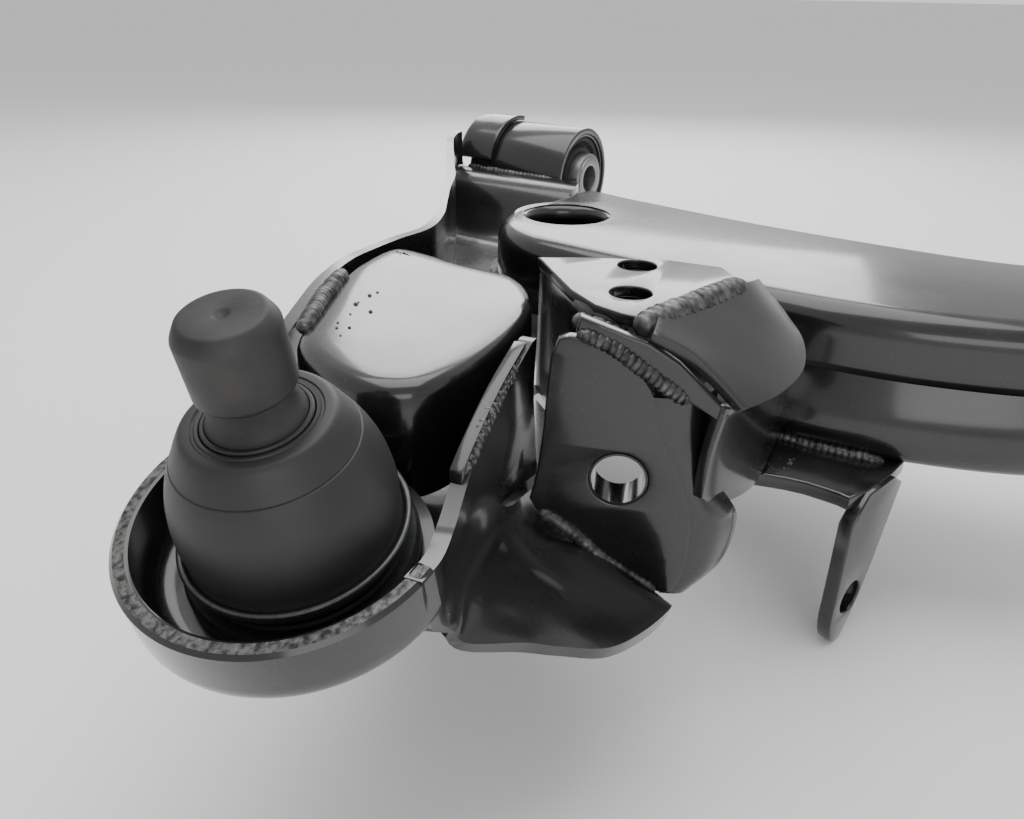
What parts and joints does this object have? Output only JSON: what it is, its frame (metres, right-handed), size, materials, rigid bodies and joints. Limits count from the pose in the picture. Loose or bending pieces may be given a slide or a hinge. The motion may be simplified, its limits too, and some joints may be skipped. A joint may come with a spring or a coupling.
{
  "type": "suspension control arm",
  "caption": "Welded pressed-steel control arm with two pivot bushings, a pinch-bolt ball joint in a cup, damper ears and a link tab.",
  "frame": {"origin": "middle of the rear pivot bushing's bore, on the pivot line", "axes": "+Y along the pivot line to the front bushing, +X outboard to the ball joint, +Z to the ball stud side"},
  "size_m": [0.3927, 0.423, 0.1524],
  "materials": {
    "ecoat_steel": "gloss black electrocoat over pressed steel",
    "weld_metal": "coated weld metal, rippled",
    "bushing_rubber": "moulded matt rubber",
    "sleeve_steel": "turned steel, zinc plated",
    "nut_steel": "plain steel",
    "housing_steel": "machined forging, phosphated",
    "spring_steel": "spring steel wire",
    "seat_polymer": "moulded acetal",
    "stud_steel": "cold-forged steel, dark phosphate",
    "boot_rubber": "moulded satin rubber"
  },
  "bodies": {
    "arm": {"main_stamping": "ecoat_steel", "beam_upper": "ecoat_steel", "beam_lower": "ecoat_steel", "inner_panel": "ecoat_steel", "web_plate": "ecoat_steel", "closing_plate": "ecoat_steel", "cover_plate": "ecoat_steel", "pocket_side": "ecoat_steel", "ear_plate": "ecoat_steel", "bolt_collar": "ecoat_steel", "inner_ear": "ecoat_steel", "tab_bracket": "ecoat_steel", "rear_ring": "ecoat_steel", "front_ring": "ecoat_steel", "rear_can": "ecoat_steel", "front_can": "ecoat_steel", "bead_cover": "weld_metal", "bead_ear": "weld_metal", "bead_panel": "weld_metal", "bead_skirt": "weld_metal", "bead_web": "weld_metal", "bead_tab": "weld_metal", "rear_rubber": "bushing_rubber", "front_rubber": "bushing_rubber", "weld_nut": "nut_steel", "joint_housing": "housing_steel", "joint_cover": "housing_steel", "joint_spring": "spring_steel"},
    "rear_core": {"rear_sleeve": "sleeve_steel"},
    "front_core": {"front_sleeve": "sleeve_steel"},
    "race": {"joint_seat": "seat_polymer", "boot": "boot_rubber", "boot_lower_ring": "spring_steel"},
    "collar": {"boot_upper_ring": "boot_rubber"},
    "stud": {"ball_stud": "stud_steel"}
  },
  "joints": [
    {"name": "rear_sleeve_twist", "type": "hinge", "parent": "arm", "child": "rear_core", "pos_m": [0, 0, 0], "axis": [0, 1, 0], "range_deg": [-30, 30], "stiffness_Nm_per_rad": 30},
    {"name": "front_sleeve_twist", "type": "hinge", "parent": "arm", "child": "front_core", "pos_m": [0, 0.35, 0], "axis": [0, 1, 0], "range_deg": [-30, 30], "stiffness_Nm_per_rad": 30},
    {"name": "race_swivel", "type": "hinge", "parent": "arm", "child": "race", "pos_m": [0.32671, 0.13945, -0.01368], "axis": [0.255, 0.061, 0.965], "continuous": true},
    {"name": "stud_tilt", "type": "hinge", "parent": "race", "child": "collar", "pos_m": [0.32671, 0.13945, -0.01368], "axis": [0.9668, 0, -0.2554], "range_deg": [-25, 25], "deforming": ["boot"]},
    {"name": "stud_spin", "type": "hinge", "parent": "collar", "child": "stud", "pos_m": [0.32671, 0.13945, -0.01368], "axis": [0.255, 0.061, 0.965], "continuous": true}
  ]
}
